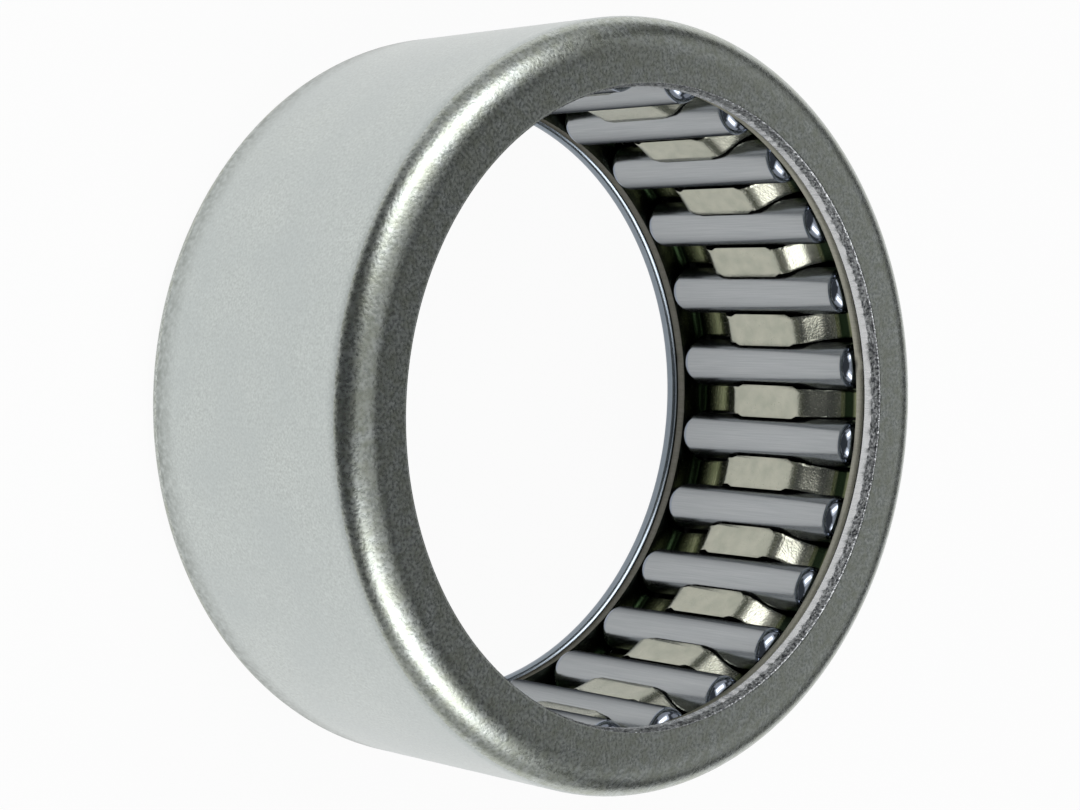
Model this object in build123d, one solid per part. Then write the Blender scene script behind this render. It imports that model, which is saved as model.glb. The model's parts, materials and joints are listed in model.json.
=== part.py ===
"""Drawn-cup needle roller bearing with a cage, open at both ends, for a 30 mm shaft.

The origin is the middle of the bearing. +Z runs along its axis towards the front face, the one
with the thick punched lip. The first roller lies on +X, and the others follow by the right-hand
rule about +Z. All sizes are in millimetres.
"""
import os
from math import cos, radians, sin

from build123d import *

# ---- Driving dimensions: the cup ------------------------------------------------------------
OUTER_R = 18.5
WIDTH = 16.0
RACEWAY_R = 17.52

FRONT_LIP = 1.0
FRONT_BORE_R = 15.18
FRONT_CORNER_R = 1.45
SHEARED_LENGTH = 0.45  # smooth part of the punched edge, on the side of the rollers
TORN_FLARE = 0.07  # how far the rough part opens towards the front face

REAR_LIP = 0.8
REAR_BORE_R = 15.3
REAR_CORNER_R = 0.95
REAR_EDGE_R = 0.34

RACEWAY_END_R = 0.3

# ---- Driving dimensions: the rollers --------------------------------------------------------
ROLLER_COUNT = 25
ROLLER_R = 1.25
ROLLER_LENGTH = 12.5
ROLLER_END_R = 0.7
ROLLER_CLEARANCE = 0.015

# ---- Driving dimensions: the cage -----------------------------------------------------------
CAGE_MIDDLE_Z = -0.14  # the rear lip is the thinner one, so the cage and rollers sit lower
CAGE_WIDTH = 13.8
SHEET = 0.5
CAGE_OUTER_R = 17.3
FLANGE_BORE_R = 15.42
FLANGE_BEND_R = 0.5
BAR_INNER_R = 15.4
BAR_FLAT_END = 2.45  # from the cage's middle to where the dipped flat would meet the slope
BAR_SLOPE_END = 3.25  # and to where the slope would meet the outer band
BAR_BEND_R = 0.45

POCKET_WIDTH = 2.6
POCKET_LENGTH = 12.66
POCKET_CORNER_R = 0.35
LUG_GAP = 2.46  # narrower than a roller, so the lugs keep it from falling inwards
LUG_END = 2.15  # from the cage's middle
LUG_CHAMFER = 0.3
CUTTER_START_R = 14.4  # each pocket is cut outwards from inside the cage
CUTTER_DEPTH = 4.0

# ---- Derived sizes --------------------------------------------------------------------------
TOP = WIDTH / 2
PITCH_R = RACEWAY_R - ROLLER_CLEARANCE - ROLLER_R
STEP_ANGLE = 360 / ROLLER_COUNT


def turned(corners):
    """Revolve a closed outline about Z. Each corner is (radius from Z, height, corner radius)."""
    points = [(r, z) for r, z, _ in corners]
    rounding = [corner_r for _, _, corner_r in corners]
    outline = FilletPolyline(*points, radius=rounding, close=True)
    return revolve(make_face(Plane.XZ * outline), Axis.Z)


def outer_ring():
    """The cup: a thin drawn wall with a punched lip in front and a rolled-in lip behind."""
    front_inside = TOP - FRONT_LIP
    rear_inside = REAR_LIP - TOP
    return turned(
        [
            (OUTER_R, -TOP, REAR_CORNER_R),
            (OUTER_R, TOP, FRONT_CORNER_R),
            (FRONT_BORE_R + TORN_FLARE, TOP, 0),
            (FRONT_BORE_R, front_inside + SHEARED_LENGTH, 0),
            (FRONT_BORE_R, front_inside, 0),
            (RACEWAY_R, front_inside, RACEWAY_END_R),
            (RACEWAY_R, rear_inside, RACEWAY_END_R),
            (REAR_BORE_R, rear_inside, REAR_EDGE_R),
            (REAR_BORE_R, -TOP, REAR_EDGE_R),
        ]
    )


def cage_shell():
    """The cage's sheet before piercing: end flanges, outer bands and a dipped middle."""
    middle = SHEET / 2
    flange_z = CAGE_WIDTH / 2 - middle
    band_r = CAGE_OUTER_R - middle
    flat_r = BAR_INNER_R + middle
    upper_half = [
        (FLANGE_BORE_R, flange_z),
        (band_r, flange_z),
        (band_r, BAR_SLOPE_END),
        (flat_r, BAR_FLAT_END),
    ]
    lower_half = [(r, -z) for r, z in reversed(upper_half)]
    bends = [FLANGE_BEND_R, BAR_BEND_R, BAR_BEND_R]
    path = FilletPolyline(*upper_half, *lower_half, radius=bends + bends[::-1])
    section = trace(path, line_width=SHEET)
    return Pos(0, 0, CAGE_MIDDLE_Z) * revolve(Plane.XZ * section, Axis.Z)


def pocket_cutter():
    """One pocket on +X: a long slot with rounded ends, narrowed in its middle by two lugs."""
    slot = RectangleRounded(POCKET_WIDTH, POCKET_LENGTH, POCKET_CORNER_R)
    lug_edge = LUG_GAP / 2
    lug = Polyline(
        (lug_edge, LUG_END - LUG_CHAMFER),
        (POCKET_WIDTH / 2, LUG_END),
        (POCKET_WIDTH, LUG_END),
        (POCKET_WIDTH, -LUG_END),
        (POCKET_WIDTH / 2, -LUG_END),
        (lug_edge, LUG_CHAMFER - LUG_END),
        close=True,
    )
    lugs = make_face(lug) + mirror(make_face(lug), Plane.YZ)
    outline = Plane(origin=(0, 0, CAGE_MIDDLE_Z), x_dir=(0, 1, 0), z_dir=(1, 0, 0)) * (slot - lugs)
    return extrude(Pos(CUTTER_START_R, 0, 0) * outline, CUTTER_DEPTH)


def cage():
    """The pierced cage, with one pocket for each roller."""
    pockets = [Rot(0, 0, k * STEP_ANGLE) * pocket_cutter() for k in range(ROLLER_COUNT)]
    return cage_shell() - pockets


def roller():
    """One needle roller about Z, with generously rounded ends."""
    half = ROLLER_LENGTH / 2
    return turned(
        [
            (0, -half, 0),
            (ROLLER_R, -half, ROLLER_END_R),
            (ROLLER_R, half, ROLLER_END_R),
            (0, half, 0),
        ]
    )


def place_roller(index):
    """The roller with this index, counted from 0 on +X, moved to its place in the ring."""
    angle = radians(index * STEP_ANGLE)
    centre = Pos(PITCH_R * cos(angle), PITCH_R * sin(angle), CAGE_MIDDLE_Z)
    return centre * roller()


nodes = {"outer_ring": outer_ring(), "cage": cage()}
for index in range(ROLLER_COUNT):
    nodes[f"needle_{index + 1:02d}"] = place_roller(index)

os.makedirs("parts", exist_ok=True)
for name, solid in nodes.items():
    export_step(solid, f"parts/{name}.step")
    print(name, round(solid.volume, 3), solid.is_valid)
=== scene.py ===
"""The looks of a drawn-cup needle roller bearing: the cup, its pierced cage and 25 needle rollers.

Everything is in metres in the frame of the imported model: the origin is the middle of the
bearing and +Z runs along its axis towards the front face, the one with the punched lip.
"""
import json
import math

import bpy
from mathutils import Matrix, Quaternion, Vector


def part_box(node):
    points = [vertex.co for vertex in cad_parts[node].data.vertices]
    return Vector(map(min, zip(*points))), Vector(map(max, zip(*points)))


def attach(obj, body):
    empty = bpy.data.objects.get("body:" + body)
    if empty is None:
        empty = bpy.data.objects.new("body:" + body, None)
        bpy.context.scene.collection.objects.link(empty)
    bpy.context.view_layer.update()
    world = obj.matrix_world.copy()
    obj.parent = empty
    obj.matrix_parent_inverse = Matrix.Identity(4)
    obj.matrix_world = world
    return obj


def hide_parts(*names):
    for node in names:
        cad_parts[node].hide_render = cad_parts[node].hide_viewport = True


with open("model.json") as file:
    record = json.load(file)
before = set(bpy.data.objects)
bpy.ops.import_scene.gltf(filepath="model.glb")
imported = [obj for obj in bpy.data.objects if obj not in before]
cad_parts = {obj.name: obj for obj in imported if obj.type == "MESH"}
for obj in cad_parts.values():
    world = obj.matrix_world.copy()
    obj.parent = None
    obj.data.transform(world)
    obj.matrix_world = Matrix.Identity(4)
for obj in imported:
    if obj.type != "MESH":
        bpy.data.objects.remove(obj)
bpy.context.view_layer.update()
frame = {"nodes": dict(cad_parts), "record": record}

MM = 0.001
TURN = 2 * math.pi

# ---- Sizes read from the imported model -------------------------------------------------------
cup_low, cup_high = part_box("outer_ring")
cage_low, cage_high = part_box("cage")
roller_low, roller_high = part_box("needle_01")
roller_nodes = sorted(n for n in frame["nodes"] if n.startswith("needle_"))
mounts = {mount["name"]: mount for mount in frame["record"]["mounts"]}

CUP_R = cup_high.x
TOP = cup_high.z
FLOOR_Z = cup_low.z
FRONT_BORE_R = mounts["shaft_bore"]["dims"]["r_mm"] * MM
ROLLER_R = (roller_high.x - roller_low.x) / 2
CAGE_MIDDLE_Z = (cage_high.z + cage_low.z) / 2
STEP_ANGLE = TURN / len(roller_nodes)

# ---- Sizes of the cup -----------------------------------------------------------------------
RACEWAY_R = 17.52 * MM
RACEWAY_END_R = 0.3 * MM
FRONT_LIP = 1.0 * MM
FRONT_CORNER_DEPTH = 1.45 * MM
FRONT_CORNER_REACH = 1.9 * MM
FRONT_CORNER_STEPS = 26
SHEARED_LENGTH = 0.5 * MM
SHEARED_ENTRY_R = 0.06 * MM
TORN_FLARE = 0.07 * MM
TORN_GRAIN = 0.03 * MM
TORN_ROWS = 6
TORN_SEED = 4
BURR_R = 0.05 * MM
REAR_LIP = 0.8 * MM
REAR_BORE_R = 15.3 * MM
REAR_CORNER_R = 0.95 * MM
REAR_EDGE_R = 0.34 * MM
CUP_CHORD = 0.12 * MM
CUP_STEPS = 720
CUP_SMOOTH_ANGLE = 50

# narrow rows of faces beside each big corner, which keep the shading of the flats flat
EDGE_SUPPORT = 0.08 * MM

# The matt outside lies beyond this radius. It ends where faces start to lean back into the rear
# corner, and a little way round the front one, where they lean this far up.
OUTSIDE_INNER_R = RACEWAY_R + 0.5 * MM
OUTSIDE_LEAN_BACK = -0.02
OUTSIDE_LEAN_UP = 0.36

# heights over which the outside goes over to the rolled rear corner's rougher skin
ROLLED_ZONE = (-5.5 * MM, -6.9 * MM)

# ---- Sizes of the cage ----------------------------------------------------------------------
SHEET = 0.5 * MM
FLANGE_BORE_R = 15.42 * MM
FLANGE_BEND_R = 0.75 * MM
BAR_INNER_R = 15.4 * MM
BAR_FLAT_END = 2.45 * MM
BAR_SLOPE_END = 3.85 * MM
BAR_INNER_BEND_R = 1.0 * MM
BAR_OUTER_BEND_R = 2.0 * MM
POCKET_WIDTH = 2.6 * MM
POCKET_LENGTH = 12.66 * MM
POCKET_CORNER_R = 0.35 * MM
LUG_GAP = 2.3 * MM
LUG_TAPER = 0.2
LUG_END = 2.15 * MM
LUG_CHAMFER = 0.3 * MM
PIERCED_EDGE_R = 0.05 * MM
PIERCED_EDGE_ANGLE = 50
CUTTER_START_R = BAR_INNER_R - 1.0 * MM
CUTTER_DEPTH = 4.0 * MM
CAGE_CHORD = 0.1 * MM
CAGE_STEPS_A_POCKET = 7
CAGE_SMOOTH_ANGLE = 40

# beyond this radius the strip lies in the cup's shade: its colour is painted darker there as shade,
# and tinted yellow-green by oil
CAGE_SHADE_R = 16.7 * MM

# How squarely a face has to look across the bars to count as a pocket's wall, which is painted
# near black as shade. In the shade the rounded edges of the pockets count too, so that painted
# shade takes out their highlights, and elsewhere they keep the strip's own finish.
WALL_SQUARENESS = 0.7
SHADED_WALL_SQUARENESS = 0.25

# Painted shade, dark green-black, lies behind the rear lip and in the bend in front of the
# bars. Each pair of heights goes from where there is none to where it is full.
REAR_PAINTED_SHADE = (-4.3 * MM, -6.0 * MM)
FRONT_PAINTED_SHADE_STARTS = (3.9 * MM, 4.3 * MM)
FRONT_PAINTED_SHADE_ENDS = (5.2 * MM, 4.8 * MM)

# ---- Sizes of the rollers -------------------------------------------------------------------
ROLLER_END_R = 0.7 * MM
ROLLER_CHORD = 0.1 * MM
ROLLER_STEPS = 72
ROLLER_SMOOTH_ANGLE = 40

# each roller is turned this many radians further than the last, so that no two look alike
ROLLER_TURN = 2.4

# ---- How close counts as there, and how squarely a face looks some way ----------------------
SAME_POINT = 0.0001 * MM
SAME_SEAM = 0.001 * MM
NEAR = 0.01 * MM
NEARLY_LEVEL = 0.1
FACING_AXIS = 0.7
FACING_BACK = 0.9


# ---- Modelling ------------------------------------------------------------------------------
def deselect_all():
    """Leave nothing selected, as an operator acts on all that is."""
    for obj in bpy.context.selected_objects:
        obj.select_set(False)


def make_active(obj):
    """Select obj alone, for the operators that follow."""
    deselect_all()
    obj.select_set(True)
    bpy.context.view_layer.objects.active = obj


def rounded(corners, closed, chord):
    """Outline points from (radius, height, corner radius) rows. Arcs have chords near this long."""
    count = len(corners)
    points = []
    for i, (r, z, corner_r) in enumerate(corners):
        here = Vector((r, z))
        inner = closed or 0 < i < count - 1
        if corner_r == 0 or not inner:
            points.append(here)
            continue
        before = Vector(corners[i - 1][:2]) - here
        after = Vector(corners[(i + 1) % count][:2]) - here
        half_angle = before.angle(after) / 2
        middle = (before.normalized() + after.normalized()).normalized()
        centre = here + middle * corner_r / math.sin(half_angle)
        start = here + before.normalized() * corner_r / math.tan(half_angle) - centre
        swing = math.pi - 2 * half_angle
        side = 1 if before.x * after.y < before.y * after.x else -1
        arcs = max(3, math.ceil(swing * corner_r / chord))
        for k in range(arcs + 1):
            angle = side * swing * k / arcs
            cos, sin = math.cos(angle), math.sin(angle)
            turned = Vector((start.x * cos - start.y * sin, start.x * sin + start.y * cos))
            points.append(centre + turned)
    return points


def draw_chain(name, points):
    """A new object with one edge after another through points, left in edit mode."""
    deselect_all()
    bpy.ops.mesh.primitive_plane_add(size=MM, location=points[0])
    obj = bpy.context.object
    obj.name = obj.data.name = name
    bpy.ops.object.transform_apply(location=True, rotation=True, scale=True)
    bpy.ops.object.mode_set(mode="EDIT")
    bpy.ops.mesh.merge(type="CENTER")
    for start, end in zip(points, points[1:]):
        bpy.ops.mesh.extrude_region_move(TRANSFORM_OT_translate={"value": end - start})
    bpy.ops.mesh.select_all(action="SELECT")
    return obj


def spin_outline(name, outline, steps, closed, start_angle=0.0):
    """Turn an outline of (radius, height) points right round Z into a clean skin."""
    cos, sin = math.cos(start_angle), math.sin(start_angle)
    points = [Vector((r * cos, r * sin, z)) for r, z in outline]
    if closed:
        points.append(points[0])
    obj = draw_chain(name, points)
    bpy.ops.mesh.remove_doubles(threshold=SAME_POINT)
    bpy.ops.mesh.spin(steps=steps, angle=TURN, center=(0, 0, 0), axis=(0, 0, 1))
    bpy.ops.mesh.select_all(action="SELECT")
    bpy.ops.mesh.remove_doubles(threshold=SAME_SEAM)
    bpy.ops.mesh.normals_make_consistent(inside=False)
    bpy.ops.object.mode_set(mode="OBJECT")
    return obj


def smooth(obj, angle):
    """Shade obj smooth across edges that bend by less than angle degrees."""
    make_active(obj)
    bpy.ops.object.shade_smooth_by_angle(angle=math.radians(angle))


def apply_modifiers(obj):
    """Work obj's modifiers into its mesh."""
    make_active(obj)
    for modifier in list(obj.modifiers):
        bpy.ops.object.modifier_apply(modifier=modifier.name)


def paint(obj, materials, choose):
    """Give obj these materials, and each face the one that choose(radius, height, outward, upward)
    names, where outward and upward are the parts of its normal away from and along the axis."""
    names = list(materials)
    obj.data.materials.clear()
    for name in names:
        obj.data.materials.append(materials[name])
    for face in obj.data.polygons:
        centre, normal = face.center, face.normal
        radius = math.hypot(centre.x, centre.y)
        outward = (centre.x * normal.x + centre.y * normal.y) / max(radius, NEAR)
        face.material_index = names.index(choose(radius, centre.z, outward, normal.z))


# ---- The cup --------------------------------------------------------------------------------
def make_cup():
    """The drawn cup: one closed section turned round the axis, then torn behind its front bore."""
    front_inside = TOP - FRONT_LIP
    rear_inside = FLOOR_Z + REAR_LIP
    torn_start = front_inside + SHEARED_LENGTH
    torn_end = TOP - BURR_R
    torn = []
    for k in range(TORN_ROWS + 1):
        r = FRONT_BORE_R + TORN_FLARE * (1 - k / TORN_ROWS)
        torn.append((r, torn_end + (torn_start - torn_end) * k / TORN_ROWS, 0))
    front_corner = []
    for k in range(FRONT_CORNER_STEPS + 1):
        angle = math.pi / 2 * k / FRONT_CORNER_STEPS
        r = CUP_R - FRONT_CORNER_REACH * (1 - math.cos(angle))
        front_corner.append((r, TOP - FRONT_CORNER_DEPTH * (1 - math.sin(angle)), 0))
    burr_edge = FRONT_BORE_R + TORN_FLARE + BURR_R
    corners = [
        (CUP_R, FLOOR_Z, REAR_CORNER_R),
        (CUP_R, FLOOR_Z + REAR_CORNER_R + EDGE_SUPPORT, 0),
        (CUP_R, TOP - FRONT_CORNER_DEPTH - EDGE_SUPPORT, 0),
        *front_corner,
        (CUP_R - FRONT_CORNER_REACH - EDGE_SUPPORT, TOP, 0),
        (burr_edge + EDGE_SUPPORT, TOP, 0),
        (burr_edge, TOP, 0),
        *torn,
        (FRONT_BORE_R, front_inside, SHEARED_ENTRY_R),
        (RACEWAY_R, front_inside, RACEWAY_END_R),
        (RACEWAY_R, rear_inside, RACEWAY_END_R),
        (REAR_BORE_R, rear_inside, REAR_EDGE_R),
        (REAR_BORE_R, FLOOR_Z, REAR_EDGE_R),
    ]
    cup = spin_outline("cup", rounded(corners, True, CUP_CHORD), CUP_STEPS, True)

    # the torn part of the punched edge is rough
    bpy.ops.object.mode_set(mode="EDIT")
    bpy.ops.mesh.select_all(action="DESELECT")
    bpy.ops.object.mode_set(mode="OBJECT")
    for vertex in cup.data.vertices:
        in_bore = math.hypot(vertex.co.x, vertex.co.y) < FRONT_BORE_R + TORN_FLARE
        vertex.select = in_bore and torn_start - NEAR < vertex.co.z < torn_end - NEAR
    bpy.ops.object.mode_set(mode="EDIT")
    bpy.ops.transform.vertex_random(offset=TORN_GRAIN, uniform=1, normal=0, seed=TORN_SEED)
    bpy.ops.object.mode_set(mode="OBJECT")
    smooth(cup, CUP_SMOOTH_ANGLE)

    def finish(r, z, outward, upward):
        if r > OUTSIDE_INNER_R and OUTSIDE_LEAN_BACK < upward < OUTSIDE_LEAN_UP:
            return "outside"
        if z > torn_start and r < burr_edge:
            return "torn"
        if z > front_inside - NEAR and outward < -FACING_AXIS:
            return "sheared"
        in_rear_lip = z < rear_inside + NEAR and r < REAR_BORE_R + REAR_EDGE_R
        if in_rear_lip and upward > -FACING_BACK:
            return "rolled"
        if abs(r - RACEWAY_R) < 2 * NEAR and abs(upward) < NEARLY_LEVEL:
            return "raceway"
        return "tumbled"

    paint(
        cup,
        {
            "outside": barrelled_outside_steel(),
            "tumbled": tumbled_case_hardened_steel(),
            "sheared": sheared_steel(),
            "rolled": rolled_lip_steel(),
            "torn": torn_steel(),
            "raceway": ground_raceway_painted_shade_steel(),
        },
        finish,
    )
    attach(cup, "cup")
    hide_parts("outer_ring")


# ---- The cage -------------------------------------------------------------------------------
def make_cage():
    """The cage: the strip's middle line turned round the axis, given its wall, and pierced."""
    middle = SHEET / 2
    flange_z = (cage_high.z - cage_low.z) / 2 - middle
    band_r = cage_high.x - middle
    flat_r = BAR_INNER_R + middle
    upper_half = [
        (FLANGE_BORE_R, flange_z, 0),
        (band_r, flange_z, FLANGE_BEND_R),
        (band_r, BAR_SLOPE_END, BAR_OUTER_BEND_R),
        (flat_r, BAR_FLAT_END, BAR_INNER_BEND_R),
    ]
    lower_half = [(r, -z, bend_r) for r, z, bend_r in reversed(upper_half)]
    outline = rounded(upper_half + lower_half, False, CAGE_CHORD)
    path = [(r, z + CAGE_MIDDLE_Z) for r, z in outline]
    steps = CAGE_STEPS_A_POCKET * len(roller_nodes)
    half_step = TURN / steps / 2
    cage = spin_outline("pierced_cage", path, steps, False, half_step)

    sheet = cage.modifiers.new("sheet", "SOLIDIFY")
    sheet.thickness = SHEET
    sheet.offset = 0
    sheet.use_even_offset = True
    apply_modifiers(cage)

    cutter = make_pocket_cutters()
    pierce = cage.modifiers.new("pierce", "BOOLEAN")
    pierce.operation = "DIFFERENCE"
    pierce.solver = "EXACT"
    pierce.object = cutter
    apply_modifiers(cage)
    bpy.data.objects.remove(cutter)

    edge = cage.modifiers.new("pierced_edge", "BEVEL")
    edge.width = PIERCED_EDGE_R
    edge.segments = 2
    edge.limit_method = "ANGLE"
    edge.angle_limit = math.radians(PIERCED_EDGE_ANGLE)
    edge.harden_normals = True
    apply_modifiers(cage)
    smooth(cage, CAGE_SMOOTH_ANGLE)

    def finish(r, z, outward, upward):
        from_middle = abs(z - CAGE_MIDDLE_Z)
        if r < FLANGE_BORE_R + PIERCED_EDGE_R and from_middle > BAR_SLOPE_END:
            return "front_edge" if z > 0 else "rear_edge"
        squareness = 1 - outward * outward - upward * upward
        # painted shade: pocket walls, and out in the shade their rounded edges too
        if squareness > (SHADED_WALL_SQUARENESS if r > CAGE_SHADE_R else WALL_SQUARENESS):
            return "pierced"
        # painted shade on the flanges' faces
        if from_middle > flange_z - middle - 2 * NEAR:
            return "flange"
        # painted shade: out in the cup's shade the strip gets a darker colour
        if r > CAGE_SHADE_R:
            return "oiled"
        return "pressed"

    paint(
        cage,
        {
            "pressed": pressed_cage_steel(),
            "oiled": oil_tint_and_painted_shade_cage_steel(),
            "flange": painted_shade_flange_steel(),
            "front_edge": front_flange_edge_steel(),
            "rear_edge": rear_flange_edge_painted_shade_steel(),
            "pierced": painted_shade_pocket_wall_steel(),
        },
        finish,
    )
    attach(cage, "cage")
    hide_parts("cage")


def make_pocket_cutters():
    """One closed cutter for each pocket: a long slot with rounded corners and two lugs."""
    half_width, half_length = POCKET_WIDTH / 2, POCKET_LENGTH / 2
    lug_edge = LUG_GAP / 2
    right_side = [
        (half_width, half_length, POCKET_CORNER_R),
        (half_width, LUG_END, 0),
        (lug_edge, LUG_END - LUG_CHAMFER, 0),
        (lug_edge, LUG_CHAMFER - LUG_END, 0),
        (half_width, -LUG_END, 0),
        (half_width, -half_length, POCKET_CORNER_R),
    ]
    left_side = [(-y, z, corner_r) for y, z, corner_r in reversed(right_side)]
    outline = rounded(right_side + left_side, True, CAGE_CHORD)
    points = [Vector((CUTTER_START_R, y, z + CAGE_MIDDLE_Z)) for y, z in outline]
    cutter = draw_chain("pocket_cutter", points + points[:1])
    bpy.ops.mesh.remove_doubles(threshold=SAME_POINT)
    bpy.ops.mesh.edge_face_add()
    widen_lug_gap(cutter, CUTTER_START_R)
    bpy.ops.mesh.extrude_region_move(TRANSFORM_OT_translate={"value": (CUTTER_DEPTH, 0, 0)})
    widen_lug_gap(cutter, CUTTER_START_R + CUTTER_DEPTH)
    bpy.ops.mesh.select_all(action="SELECT")
    bpy.ops.mesh.spin(
        steps=len(roller_nodes) - 1,
        angle=TURN - STEP_ANGLE,
        dupli=True,
        center=(0, 0, 0),
        axis=(0, 0, 1),
    )
    bpy.ops.mesh.select_all(action="SELECT")
    bpy.ops.mesh.normals_make_consistent(inside=False)
    bpy.ops.object.mode_set(mode="OBJECT")
    return cutter


def widen_lug_gap(cutter, r):
    """Set the gap between the lugs at this radius, which grows outwards from the bars' inside."""
    bpy.ops.object.mode_set(mode="OBJECT")
    for vertex in cutter.data.vertices:
        at_lug = abs(vertex.co.z - CAGE_MIDDLE_Z) < LUG_END - LUG_CHAMFER / 2
        vertex.select = at_lug and abs(vertex.co.x - r) < NEAR
    bpy.ops.object.mode_set(mode="EDIT")
    gap = LUG_GAP + 2 * LUG_TAPER * (r - BAR_INNER_R)
    bpy.ops.transform.resize(value=(1, gap / LUG_GAP, 1), center_override=(0, 0, 0))
    bpy.ops.object.mode_set(mode="OBJECT")
    for vertex in cutter.data.vertices:
        vertex.select = abs(vertex.co.x - r) < NEAR
    bpy.ops.object.mode_set(mode="EDIT")


# ---- The rollers ----------------------------------------------------------------------------
def make_rollers():
    """One roller with rounded ends, copied into every pocket with a mesh of its own."""
    half = (roller_high.z - roller_low.z) / 2
    corners = [
        (0, -half, 0),
        (ROLLER_R, -half, ROLLER_END_R),
        (ROLLER_R, half, ROLLER_END_R),
        (0, half, 0),
    ]
    outline = rounded(corners, False, ROLLER_CHORD)
    pattern = spin_outline("roller", outline, ROLLER_STEPS, False)
    smooth(pattern, ROLLER_SMOOTH_ANGLE)
    paint(
        pattern,
        {"ground": ground_roller_steel(), "end": tumbled_roller_end_steel()},
        lambda r, z, outward, upward: "ground" if abs(upward) < NEARLY_LEVEL else "end",
    )
    for index, node in enumerate(roller_nodes):
        low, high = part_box(node)
        make_active(pattern)
        bpy.ops.object.duplicate()
        roller = bpy.context.object
        roller.name = roller.data.name = f"roller_{index + 1:02d}"
        roller.rotation_euler.z = ROLLER_TURN * index
        roller.location = (low + high) / 2
        bpy.ops.object.transform_apply(location=True, rotation=True, scale=True)
        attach(roller, node)
        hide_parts(node)
    bpy.data.objects.remove(pattern)


# ---- Materials ------------------------------------------------------------------------------
def linear(colour):
    """An sRGB hex colour as linear red, green, blue and full alpha."""
    parts = [int(colour[i : i + 2], 16) / 255 for i in (1, 3, 5)]
    return [p / 12.92 if p <= 0.04045 else ((p + 0.055) / 1.055) ** 2.4 for p in parts] + [1.0]


def add(tree, kind, inputs=(), **settings):
    """Add a node of this kind with these settings. Its inputs come in their order or by name, each
    a value, a node's output, or a node, which then stands for its first output in use."""
    node = tree.nodes.new("ShaderNode" + kind)
    for name, value in settings.items():
        setattr(node, name, value)
    for place, value in inputs.items() if isinstance(inputs, dict) else enumerate(inputs):
        if isinstance(value, bpy.types.Node):
            value = next(output for output in value.outputs if output.enabled)
        if isinstance(value, bpy.types.NodeSocket):
            tree.links.new(value, node.inputs[place])
        else:
            node.inputs[place].default_value = value
    return node


def emptied_tree(owner):
    """The node tree of a new material or world, with nothing in it."""
    owner.use_nodes = True
    owner.node_tree.nodes.clear()
    return owner.node_tree


def new_material(name):
    """A new material and its empty node tree."""
    material = bpy.data.materials.new(name)
    return material, emptied_tree(material)


def finish_metal(tree, inputs):
    """End a material's tree with a metal shader that has these inputs."""
    metal = add(tree, "BsdfPrincipled", {"Metallic": 1.0, **inputs})
    add(tree, "OutputMaterial", [metal])


def grain(tree, size, detail=2.0, roughness=0.5):
    """Noise whose patches are about size = (x, y, z) metres across, from 0 to 1."""
    place = add(tree, "TexCoord").outputs["Object"]
    scaled = add(tree, "Mapping", {"Vector": place, "Scale": [1 / s for s in size]})
    settings = {"Vector": scaled, "Scale": 1.0, "Detail": detail, "Roughness": roughness}
    return add(tree, "TexNoise", settings)


def height_along_axis(tree):
    """How far each point lies in front of the bearing's middle."""
    place = add(tree, "TexCoord").outputs["Object"]
    return add(tree, "SeparateXYZ", [place]).outputs["Z"]


def toned(tree, pattern, low, high, first, second, most=1.0):
    """A tone that goes over from first to second, each a hex colour or a node, as the pattern goes
    from low to high. It stops as far on the way as most says."""
    share = add(tree, "MapRange", [pattern, low, high, 0, most])
    first, second = (linear(tone) if isinstance(tone, str) else tone for tone in (first, second))
    return add(tree, "Mix", {"Factor": share, "A": first, "B": second}, data_type="RGBA")


def barrelled_outside_steel():
    """Case-hardened strip, barrelled to a matt pale grey, with a thin film of oil on it. Towards
    the rolled rear corner it is a little darker and patchy, where the rolling stretched it."""
    material, tree = new_material("barrelled_outside_steel")
    # the grit leaves marks of a few hundredths of a millimetre, drawn coarser so that they show
    fine = grain(tree, (0.12 * MM,) * 3, 3.0)
    cloud = grain(tree, (4 * MM,) * 3, 2.0)
    tone = toned(tree, fine, 0.3, 0.7, "#b6bcb9", "#d2d8d5")
    tone = toned(tree, cloud, 0.3, 0.7, tone, "#bcc3c2", most=0.5)
    coarse = grain(tree, (0.3 * MM,) * 3, 3.0)
    patchy = add(tree, "MapRange", [coarse, 0.35, 0.65, 0.25, 1.0])
    rolled = add(tree, "MapRange", [height_along_axis(tree), *ROLLED_ZONE, 0, 1])
    worn = add(tree, "Math", [rolled, patchy], operation="MULTIPLY")
    tones = {"Factor": worn, "A": tone, "B": linear("#929893")}
    tone = add(tree, "Mix", tones, data_type="RGBA")
    bump = add(tree, "Bump", {"Height": fine, "Strength": 0.6, "Distance": 0.01 * MM})
    oil_film = {"Coat Weight": 1.0, "Coat Roughness": 0.4}
    finish_metal(tree, {"Base Color": tone, "Roughness": 0.5, "Normal": bump, **oil_film})
    return material


def tumbled_case_hardened_steel():
    """Case-hardened steel tumbled with stones and oiled: green-grey, peppered with tiny dents."""
    material, tree = new_material("tumbled_case_hardened_steel")
    dents = grain(tree, (0.16 * MM,) * 3, 1.5)
    stains = grain(tree, (0.5 * MM,) * 3, 2.0)
    cloud = grain(tree, (1.6 * MM,) * 3, 3.0)
    tone = toned(tree, dents, 0.35, 0.65, "#a4aaa6", "#d1d6d2")
    tone = toned(tree, stains, 0.4, 0.7, tone, "#a1a695", most=0.6)
    tone = toned(tree, cloud, 0.4, 0.7, tone, "#aeb2a5", most=0.5)
    rough = add(tree, "MapRange", [dents, 0.3, 0.7, 0.25, 0.31])
    bump = add(tree, "Bump", {"Height": dents, "Strength": 1.0, "Distance": 0.0095 * MM})
    finish_metal(tree, {"Base Color": tone, "Roughness": rough, "Normal": bump})
    return material


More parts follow.
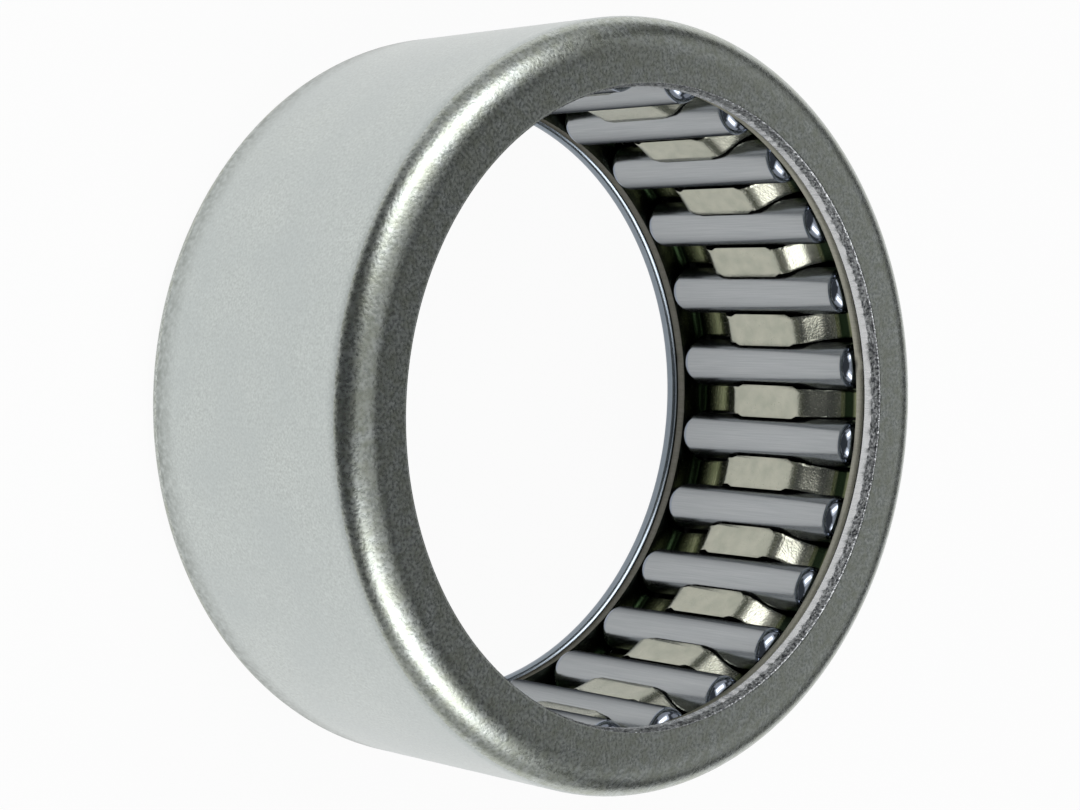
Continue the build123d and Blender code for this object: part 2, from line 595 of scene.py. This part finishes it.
def sheared_steel():
    """Steel burnished by the punch: bright, with fine streaks along the axis."""
    material, tree = new_material("sheared_steel")
    # the punch draws streaks of a few hundredths of a millimetre, drawn coarser so that they show
    streaks = grain(tree, (0.09 * MM, 0.09 * MM, 1.5 * MM), 3.0)
    rough = add(tree, "MapRange", [streaks, 0.3, 0.7, 0.18, 0.34])
    bump = add(tree, "Bump", {"Height": streaks, "Strength": 1.0, "Distance": 0.01 * MM})
    finish_metal(tree, {"Base Color": linear("#eeeff0"), "Roughness": rough, "Normal": bump})
    return material


def lined_steel(name, length, colour, smoothest, roughest):
    """Smooth steel with fine lines of this length round the axis."""
    material, tree = new_material(name)
    # real lines are a few thousandths of a millimetre apart, drawn coarser so that they show
    lines = grain(tree, (length, length, 0.05 * MM), 2.0)
    rough = add(tree, "MapRange", [lines, 0.3, 0.7, smoothest, roughest])
    bump = add(tree, "Bump", {"Height": lines, "Strength": 0.5, "Distance": 0.004 * MM})
    finish_metal(tree, {"Base Color": linear(colour), "Roughness": rough, "Normal": bump})
    return material


def rolled_lip_steel():
    """The rear lip's edge, curled in over the cage: smooth, cold grey-blue, faintly lined."""
    return lined_steel("rolled_lip_steel", 1.5 * MM, "#a2acb6", 0.16, 0.24)


def ground_raceway_painted_shade_steel():
    """Hardened and ground raceway: smooth, lined by the wheel, and painted dark as the cup's shade.
    """
    return lined_steel("ground_raceway_painted_shade_steel", 3 * MM, "#5c5d5c", 0.16, 0.26)


def torn_steel():
    """Steel torn by the punch: coarse crystalline grains that glitter among dark hollows."""
    material, tree = new_material("torn_steel")
    grains = grain(tree, (0.14 * MM,) * 3, 2.0, 0.6)
    tone = toned(tree, grains, 0.35, 0.65, "#5c5e64", "#eceef0")
    bump = add(tree, "Bump", {"Height": grains, "Strength": 1.0, "Distance": 0.06 * MM})
    finish_metal(tree, {"Base Color": tone, "Roughness": 0.32, "Normal": bump})
    return material


def cage_steel(name, dark, light, painted_shade_colour=None):
    """Cold-rolled strip, pressed and tumbled to a satin, in the tones given, and in the painted
    shade's colour, where given, behind the rear lip and in the bend in front of the bars."""
    material, tree = new_material(name)
    # the satin's own grain is a few hundredths of a millimetre, drawn coarser so that it shows
    fine = grain(tree, (0.1 * MM,) * 3, 3.0)
    cloud = grain(tree, (0.8 * MM,) * 3, 2.0)
    tone = toned(tree, cloud, 0.3, 0.7, dark, light)
    if painted_shade_colour:
        # painted shade: the tone goes over to a dark colour behind the rear lip and in the front
        # bend
        height = height_along_axis(tree)
        rear = add(tree, "MapRange", [height, *REAR_PAINTED_SHADE, 0, 1])
        starts = add(tree, "MapRange", [height, *FRONT_PAINTED_SHADE_STARTS, 0, 1])
        ends = add(tree, "MapRange", [height, *FRONT_PAINTED_SHADE_ENDS, 0, 1])
        front = add(tree, "Math", [starts, ends], operation="MULTIPLY")
        painted_shade_share = add(tree, "Math", [rear, front], operation="MAXIMUM")
        tones = {"Factor": painted_shade_share, "A": tone, "B": linear(painted_shade_colour)}
        tone = add(tree, "Mix", tones, data_type="RGBA")
    rough = add(tree, "MapRange", [fine, 0.3, 0.7, 0.2, 0.28])
    bump = add(tree, "Bump", {"Height": fine, "Strength": 1.0, "Distance": 0.012 * MM})
    finish_metal(tree, {"Base Color": tone, "Roughness": rough, "Normal": bump})
    return material


def pressed_cage_steel():
    """The strip on the shaft's side: a warm pale grey satin, with the same painted shade as the
    rest of the strip.
    """
    return cage_steel("pressed_cage_steel", "#c6c8b8", "#d6d6c6", "#1e2a1a")


def oil_tint_and_painted_shade_cage_steel():
    """The same strip out by the cup: painted darker as shade, and yellow-green with a film of oil.
    """
    return cage_steel("oil_tint_and_painted_shade_cage_steel", "#a8b084", "#c0c59a", "#1e2a1a")


def painted_shade_flange_steel():
    """The flanges' flat faces and the ends of their bends, painted dark as shade against the cup's
    lips.
    """
    return cage_steel("painted_shade_flange_steel", "#2c3028", "#44483c")


def cut_steel(name, dark, light):
    """The raw edge of cut strip in the tones given: dull, with fine streaks along the axis, and a
    dark edge tint that paints shade over its glints at grazing angles.
    """
    material, tree = new_material(name)
    # cutting leaves streaks of a few hundredths of a millimetre, drawn coarser so that they show
    streaks = grain(tree, (0.08 * MM, 0.08 * MM, 0.8 * MM), 3.0)
    inputs = {
        "Base Color": toned(tree, streaks, 0.35, 0.65, dark, light),
        # painted shade: the dark edge tint takes out glints at grazing angles
        "Specular Tint": linear("#40403c"),
        "Roughness": 0.42,
        "Normal": add(tree, "Bump", {"Height": streaks, "Strength": 1.0, "Distance": 0.004 * MM}),
    }
    finish_metal(tree, inputs)
    return material


def front_flange_edge_steel():
    """The front flange's bore: grey-brown, rubbed fairly clean."""
    return cut_steel("front_flange_edge_steel", "#bcbaac", "#c8c6b8")


def rear_flange_edge_painted_shade_steel():
    """The rear flange's bore: grey-brown, painted darker than the front one as shade behind the
    rear lip.
    """
    return cut_steel("rear_flange_edge_painted_shade_steel", "#77766d", "#83817a")


def painted_shade_pocket_wall_steel():
    """Walls of the pockets, painted near black as shade, so that the rollers stand out between
    them.
    """
    return cut_steel("painted_shade_pocket_wall_steel", "#1a1b19", "#2c2d2a")


def ground_roller_steel():
    """Through-hardened bearing steel, ground to a satin, faintly streaked along the roller. A dark
    edge tint paints shade on it, darker where it turns away."""
    material, tree = new_material("ground_roller_steel")
    # real streaks are a few thousandths of a millimetre wide, drawn coarser so that they show
    streaks = grain(tree, (0.05 * MM, 0.05 * MM, 3 * MM), 2.0)
    inputs = {
        "Base Color": toned(tree, streaks, 0.3, 0.7, "#bec2c5", "#cccfd1"),
        # painted shade: the dark edge tint darkens the flanks at grazing angles
        "Specular Tint": linear("#3c3e44"),
        "Roughness": add(tree, "MapRange", [streaks, 0.3, 0.7, 0.2, 0.24]),
        "Normal": add(tree, "Bump", {"Height": streaks, "Strength": 0.4, "Distance": 0.003 * MM}),
    }
    finish_metal(tree, inputs)
    return material


def tumbled_roller_end_steel():
    """The roller's rounded ends, tumbled bright and smooth: they carry thin sharp crescents."""
    material, tree = new_material("tumbled_roller_end_steel")
    specks = grain(tree, (0.1 * MM,) * 3, 2.0)
    rough = add(tree, "MapRange", [specks, 0.3, 0.7, 0.07, 0.12])
    finish_metal(tree, {"Base Color": linear("#aab2c0"), "Roughness": rough})
    return material


# ---- Floor, light and camera ----------------------------------------------------------------
WHITE = (1.0, 1.0, 1.0, 1.0)
FLOOR_R = 0.6
FLOOR_STEPS = 96

# How much of the floor's look is plain white rather than lit paper with a shadow on it: to the
# eye, mirrored in the open, and mirrored inside the bearing, where a lower share is a painted
# shadow. Inside goes over to open within a margin of the cup's edge. The mirrored white fades away
# further out, as painted shade.
SEEN_WHITE = 0.94
OPEN_WHITE = 0.92
PAINTED_SHADOW_INSIDE_WHITE = 0.38
EDGE_MARGIN = 1.0 * MM
PAINTED_SHADE_FADE_START = 60 * MM
PAINTED_SHADE_FADE_END = 240 * MM

# how bright the room is as a light on the bearing, mirrored in it, and to the eye
WORLD_LEVEL = 0.06
WORLD_REFLECTED = 0.065
WORLD_SEEN = 0.96
WORLD_TINT = (0.9, 0.95, 1.0, 1.0)

# name, azimuth and elevation in degrees, distance, width, height, brightness where white is 1
LAMPS = [
    ("left_softbox", 93, 47, 0.40, 0.30, 0.15, 2.6),
    ("left_softbox_rim", 93, 48, 0.42, 0.46, 0.30, 0.8),
    ("right_softbox", 247, 47, 0.40, 0.30, 0.15, 2.6),
    ("right_softbox_rim", 247, 48, 0.42, 0.46, 0.30, 0.8),
    ("left_wall", 81, 15, 0.42, 0.50, 0.20, 0.37),
    ("right_wall", 259, 15, 0.42, 0.50, 0.20, 0.37),
    ("ceiling", 170, 84, 0.40, 0.36, 0.30, 0.4),
    ("back_panel", -10, 34, 0.40, 0.74, 0.22, 0.32),
]

VIEW_LENS = 82.29
VIEW_AZIMUTH = 170.121
VIEW_ELEVATION = 49.281
VIEW_DISTANCE = 122.029 * MM
VIEW_ROLL = 93.162
VIEW_AIM = Vector((-0.819, 0.0, 0.014)) * MM


def mirrored_rays(tree, rays):
    """1 for what a mirror or a clear surface shows, and otherwise 0."""
    kinds = [rays.outputs["Is Glossy Ray"], rays.outputs["Is Transmission Ray"]]
    return add(tree, "Math", kinds, operation="MAXIMUM")


def white_paper():
    """Matt white paper. The camera and reflections see it near white, with the shadow kept. In
    reflections it has a painted shadow inside the cup's outline, and painted shade far out.
    """
    material, tree = new_material("white_paper")
    paper = add(tree, "BsdfDiffuse", {"Color": linear("#f2f2f2")})
    white = add(tree, "Emission", {"Color": WHITE, "Strength": 1.0})
    rays = add(tree, "LightPath")
    place = add(tree, "TexCoord").outputs["Object"]
    level = add(tree, "VectorMath", [place, (1, 1, 0)], operation="MULTIPLY")
    away = add(tree, "VectorMath", [level], operation="LENGTH")
    cup_edge = (CUP_R - EDGE_MARGIN, CUP_R + EDGE_MARGIN)
    # painted shadow: reflections see less plain white inside the cup's outline
    white_with_painted_shadow = add(tree, "MapRange", [away, *cup_edge, PAINTED_SHADOW_INSIDE_WHITE, OPEN_WHITE])
    # painted shade: the plain white in reflections fades away far from the bearing
    near = add(tree, "MapRange", [away, PAINTED_SHADE_FADE_START, PAINTED_SHADE_FADE_END, 1, 0])
    white_with_painted_shadow = add(tree, "Math", [white_with_painted_shadow, near], operation="MULTIPLY")
    mirrored = add(tree, "Math", [mirrored_rays(tree, rays), white_with_painted_shadow], operation="MULTIPLY")
    seen = add(tree, "Math", [rays.outputs["Is Camera Ray"], SEEN_WHITE], operation="MULTIPLY")
    share = add(tree, "Math", [seen, mirrored], operation="MAXIMUM")
    both = add(tree, "MixShader", [share, paper, white])
    add(tree, "OutputMaterial", [both])
    return material


def direction(azimuth, elevation):
    """The unit vector that points this many degrees round from +X and up from level."""
    turn, rise = math.radians(azimuth), math.radians(elevation)
    level = math.cos(rise)
    return Vector((math.cos(turn) * level, math.sin(turn) * level, math.sin(rise)))


def lay_floor():
    """A round sheet of white paper, on which the bearing's rear face stands."""
    deselect_all()
    bpy.ops.mesh.primitive_circle_add(
        vertices=FLOOR_STEPS, radius=FLOOR_R, fill_type="NGON", location=(0, 0, FLOOR_Z)
    )
    floor = bpy.context.object
    floor.name = "paper_floor"
    floor.data.materials.append(white_paper())


def set_lamps():
    """Soft rectangular lamps that face the bearing. A lamp is as bright as white where its energy
    is pi times its area."""
    for name, azimuth, elevation, distance, width, height, brightness in LAMPS:
        lamp = bpy.data.lights.new(name, "AREA")
        lamp.shape = "RECTANGLE"
        lamp.size = width
        lamp.size_y = height
        lamp.energy = brightness * math.pi * width * height
        holder = bpy.data.objects.new(name, lamp)
        bpy.context.scene.collection.objects.link(holder)
        out = direction(azimuth, elevation)
        holder.location = out * distance
        holder.rotation_euler = out.to_track_quat("Z", "Y").to_euler()


def set_world():
    """A dim, faintly cool room, which the camera sees as white as the floor."""
    world = bpy.data.worlds.new("studio")
    tree = emptied_tree(world)
    rays = add(tree, "LightPath")
    seen = rays.outputs["Is Camera Ray"]
    mirrored = mirrored_rays(tree, rays)
    level = add(tree, "MapRange", [mirrored, 0, 1, WORLD_LEVEL, WORLD_REFLECTED])
    level = add(tree, "MapRange", [seen, 0, 1, level, WORLD_SEEN])
    tint = add(tree, "Mix", {"Factor": seen, "A": WORLD_TINT, "B": WHITE}, data_type="RGBA")
    room = add(tree, "Background", {"Color": tint, "Strength": level})
    add(tree, "OutputWorld", [room])
    bpy.context.scene.world = world


def set_camera():
    """A camera above the front face, turned so that the bearing's axis lies across its view."""
    camera = bpy.data.cameras.new("camera")
    camera.lens = VIEW_LENS
    camera.clip_start = MM
    holder = bpy.data.objects.new("camera", camera)
    bpy.context.scene.collection.objects.link(holder)
    back = direction(VIEW_AZIMUTH, VIEW_ELEVATION)
    holder.location = VIEW_AIM + back * VIEW_DISTANCE
    roll = Quaternion((0, 0, 1), math.radians(VIEW_ROLL))
    holder.rotation_mode = "QUATERNION"
    holder.rotation_quaternion = (-back).to_track_quat("-Z", "Y") @ roll
    bpy.context.scene.camera = holder


bpy.context.scene.view_settings.view_transform = "Standard"
make_cup()
make_cage()
make_rollers()
lay_floor()
set_lamps()
set_world()
set_camera()
